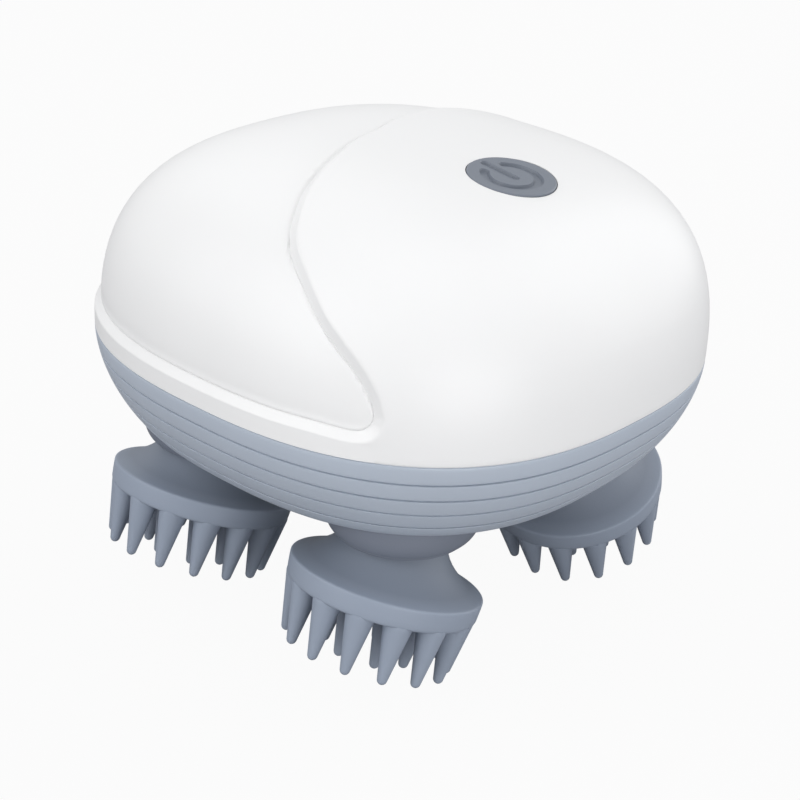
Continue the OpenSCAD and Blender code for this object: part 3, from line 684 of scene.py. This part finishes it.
def wound_copper(name):
    """Enamelled copper turns: fine bands along the shaft."""
    f = Finish(name, (0.55, 0.2, 0.07), 0.35, Metallic=0.8)
    bands = f.add("ShaderNodeTexWave", {"bands_direction": "Y"},
                  {"Vector": f.place, "Scale": 380.0})
    f.set(**{"Base Color": f.blend(bands, (0.3, 0.09, 0.03), (0.72, 0.3, 0.12))})
    f.bump(bands, 0.08)
    return f.material


def circuit(name):
    """Solder mask with the faint paler lines of tracks under it."""
    f = Finish(name, (0.03, 0.2, 0.09), 0.35)
    cells = f.add("ShaderNodeTexVoronoi", {"distance": "MANHATTAN", "feature": "F1"},
                  {"Vector": f.place, "Scale": 420.0})
    tracks = f.ramp(cells, (0.35, 0), (0.5, 1))
    f.set(**{"Base Color": f.blend(tracks, (0.025, 0.2, 0.085), (0.07, 0.34, 0.15))})
    return f.material


WHITE = (0.80, 0.80, 0.80)
GREY = (0.42, 0.47, 0.545)
SHELL_COAT = {"Coat Weight": 0.08, "Coat Roughness": 0.35}
finishes = {
    "shell_white": moulded("dome_white", WHITE, 0.42, 0.9, 0.004, 0.008, **SHELL_COAT),
    "panel_white": moulded("panel_white", WHITE, 0.42, 0.9, 0.004, 0.008, **SHELL_COAT),
    "base_grey": moulded("base_satin", GREY, 0.42, 0.35, 0.012, 0.03),
    "button_grey": moulded("button_satin", (0.163, 0.184, 0.222), 0.45, 0.3, 0.012, 0.03),
    "collar_grey": moulded("collar_satin", (0.166, 0.186, 0.231), 0.45, 0.35, 0.012, 0.03),
    # The claws' colour falls to 0.76 of itself towards the neck as painted shade
    "claw_rubber": claw_silicone("claw_silicone", (0.27, 0.312, 0.387), 0.76),
    "inner_plastic": moulded("tray_plastic", (0.42, 0.43, 0.44), 0.5, 0.6, 0.02),
    "hub_plastic": moulded("hub_plastic", (0.03, 0.032, 0.036), 0.5, 0.6, 0.02),
    "nylon": moulded("wheel_nylon", (0.7, 0.67, 0.56), 0.45, 0.7, 0.015),
    "steel": turned_metal("screw_steel", (0.6, 0.61, 0.63), 0.32),
    "brass": turned_metal("gear_brass", (0.75, 0.55, 0.2), 0.3),
    "copper": wound_copper("motor_winding"),
    "magnet": moulded("motor_magnet", (0.05, 0.05, 0.055), 0.55, 0.5, 0.03, 0.1),
    "black_rubber": moulded("seal_rubber", (0.022, 0.022, 0.025), 0.6, 0.5, 0.03, 0.1),
    "battery_wrap": moulded("battery_sleeve", (0.03, 0.12, 0.35), 0.25, 1.2, 0.01),
    "board_green": circuit("circuit_board"),
}
slot_of = {s["node"]: s["material_slot"] for s in frame["record"]["subparts"]}


def dress(obj, slot):
    """Gives an object the finish of its material slot, and no other."""
    obj.data.materials.clear()
    obj.data.materials.append(finishes[slot])


for node, obj in frame["nodes"].items():
    dress(obj, slot_of[node])


# ---------- making the pieces ----------

skin = piece("dome_main", dome_main(), "case", ["main_shell"])
carve(skin, [in_button(sheet(lathe([(BUTTON_HOLE_R, -6), (BUTTON_HOLE_R, 3)], 128),
                             poles=(True, True)))])
dress(skin, "shell_white")
dress(piece("dome_panel", dome_panel(), "case", ["side_panel"]), "panel_white")

base = piece("base_skin", base_skin(), "case", ["base_shell"])
socket = lathe([(SOCKET_R, -1), (SOCKET_R, 4)], 96)
cuts = [sheet(socket + [sx * COLLAR_X, sy * HEAD_Y, SEAM - BASE_D], poles=(True, True))
        for sx in (-1, 1) for sy in (-1, 1)]
recess_hole = lathe([(RECESS_R + 0.1, -1), (RECESS_R + 0.1, 0), (RECESS_R, 0.1), (RECESS_R, 4)],
                    48)
cuts += [sheet(recess_hole + [x, y, SEAM - BASE_D], poles=(True, True)) for x, y in POSTS]
port_x, port_z = oblong(*PORT_HALF)
port_ends = np.array([stack(port_x, y, SEAM + PORT_Z + port_z) for y in (60, PORT_FLOOR_Y)])
cuts.append(sheet(port_ends, poles=(True, True)))
carve(base, cuts)
dress(base, "base_grey")
dress(piece("base_posts", base_posts(), "case", ["base_shell"]), "base_grey")

dress(piece("power_cap", in_button(button_cap()), "button", ["power_button"]),
      "button_grey")
dress(piece("port_cover", plug_cover(), "plug", ["port_plug"]), "black_rubber")

for sx, side in ((-1, "left"), (1, "right")):
    for sy, end in ((-1, "front"), (1, "rear")):
        corner = f"{end}_{side}"
        skirt = piece("collar_" + corner, collar(sx, sy), "case",
                      ["socket_collar_" + corner])
        subtract(skirt, base)
        dress(skirt, "collar_grey")
        dress(piece("claw_" + corner, claw(sx, sy), "head_" + corner,
                    ["head_claw_" + corner], 50), "claw_rubber")


# ---------- studio ----------

def stand(obj, x, y, z, at):
    """Puts an object at a place with its own x, y and z along the given directions."""
    rows = [[x[i], y[i], z[i], at[i]] for i in range(3)]
    obj.matrix_world = Matrix(rows + [[0, 0, 0, 1]])


def lamp(name, at, aim, size, power):
    """Soft square lamp, out of the camera's sight. Places are in metres."""
    light = bpy.data.lights.new(name, "AREA")
    light.shape, light.size, light.energy = "SQUARE", size, power
    obj = bpy.data.objects.new(name, light)
    bpy.context.scene.collection.objects.link(obj)
    obj.visible_camera = False
    away = np.array(at, float) - np.array(aim, float)
    z = away / np.linalg.norm(away)
    x = np.cross((0, 0.01, 1), z)
    x /= np.linalg.norm(x)
    y = np.cross(z, x)
    stand(obj, x, y, z, at)


lamp("front_low", (-0.14, -0.28, 0.035), (-0.03, -0.03, 0.03), 0.2, 0.40)
lamp("left", (-0.8, 0.3, 0.55), (0, 0, 0.06), 0.9, 3.7)
lamp("left_low", (-0.9, 0.1, 0.2), (0, 0, 0.06), 0.6, 0.7)
lamp("right", (0.8, -0.35, 0.5), (0, 0, 0.06), 1.1, 4.6)
lamp("top", (-0.05, 0.1, 1.0), (0, 0, 0.05), 0.9, 1.3)
lamp("back", (0.35, 0.75, 0.7), (0, 0, 0.06), 0.7, 0.9)

# Grey light from all round, and white where the camera sees past the floor
ROOM_GREY = (0.655, 0.66, 0.668, 1)
world = bpy.data.worlds.new("studio")
bpy.context.scene.world = world
world.use_nodes = True
nodes, links = world.node_tree.nodes, world.node_tree.links
backdrop = nodes["Background"]
seen = nodes.new("ShaderNodeLightPath")
pick = nodes.new("ShaderNodeMix")
pick.data_type = "RGBA"
pick.inputs[6].default_value = ROOM_GREY
pick.inputs[7].default_value = (1, 1, 1, 1)
links.new(seen.outputs["Is Camera Ray"], pick.inputs[0])
links.new(pick.outputs[2], backdrop.inputs["Color"])

floor = bpy.data.objects.new("floor", bpy.data.meshes.new("floor"))
floor.data.from_pydata([(-6, -6, 0), (6, -6, 0), (6, 6, 0), (-6, 6, 0)], [], [(0, 1, 2, 3)])
bpy.context.scene.collection.objects.link(floor)
ground = Finish("studio_floor", (0.30, 0.30, 0.31), 0.9)
glow = ground.add("ShaderNodeEmission", None, {"Color": (1, 1, 1, 1), "Strength": 1.0})
path = ground.add("ShaderNodeLightPath", output="Is Camera Ray")
shown = ground.add("ShaderNodeMixShader", None, {0: path * 0.95})
ground.tree.links.new(ground.shader.outputs[0], shown.socket.node.inputs[1])
ground.tree.links.new(glow.socket, shown.socket.node.inputs[2])
ground.tree.links.new(shown.socket, ground.tree.nodes["Material Output"].inputs["Surface"])
floor.data.materials.append(ground.material)

# The camera looks at the middle of the seam, moved a little off the middle of the frame, from
# a distance in metres, and is rolled clockwise
TURN, DIP, ROLL = math.radians(-49.836), math.radians(25.952), math.radians(3.618)
SIDE_SHIFT, UP_SHIFT, DISTANCE = 0.000753, -0.0147, 0.335512
eye = bpy.data.cameras.new("camera")
eye.lens, eye.sensor_width, eye.clip_end = 77.59, 36, 20
camera = bpy.data.objects.new("camera", eye)
bpy.context.scene.collection.objects.link(camera)
side_way = np.array([math.cos(TURN), math.sin(TURN), 0])
ahead = np.array([-math.sin(TURN) * math.cos(DIP), math.cos(TURN) * math.cos(DIP),
                  -math.sin(DIP)])
up_way = np.cross(side_way, ahead)
right = side_way * math.cos(ROLL) + up_way * math.sin(ROLL)
up = up_way * math.cos(ROLL) - side_way * math.sin(ROLL)
spot = np.array([0, 0, SEAM / MM]) + SIDE_SHIFT * side_way + UP_SHIFT * up_way - DISTANCE * ahead
stand(camera, right, up, -ahead, spot)
bpy.context.scene.camera = camera
bpy.context.scene.view_settings.view_transform = "Standard"

bpy.context.view_layer.update()
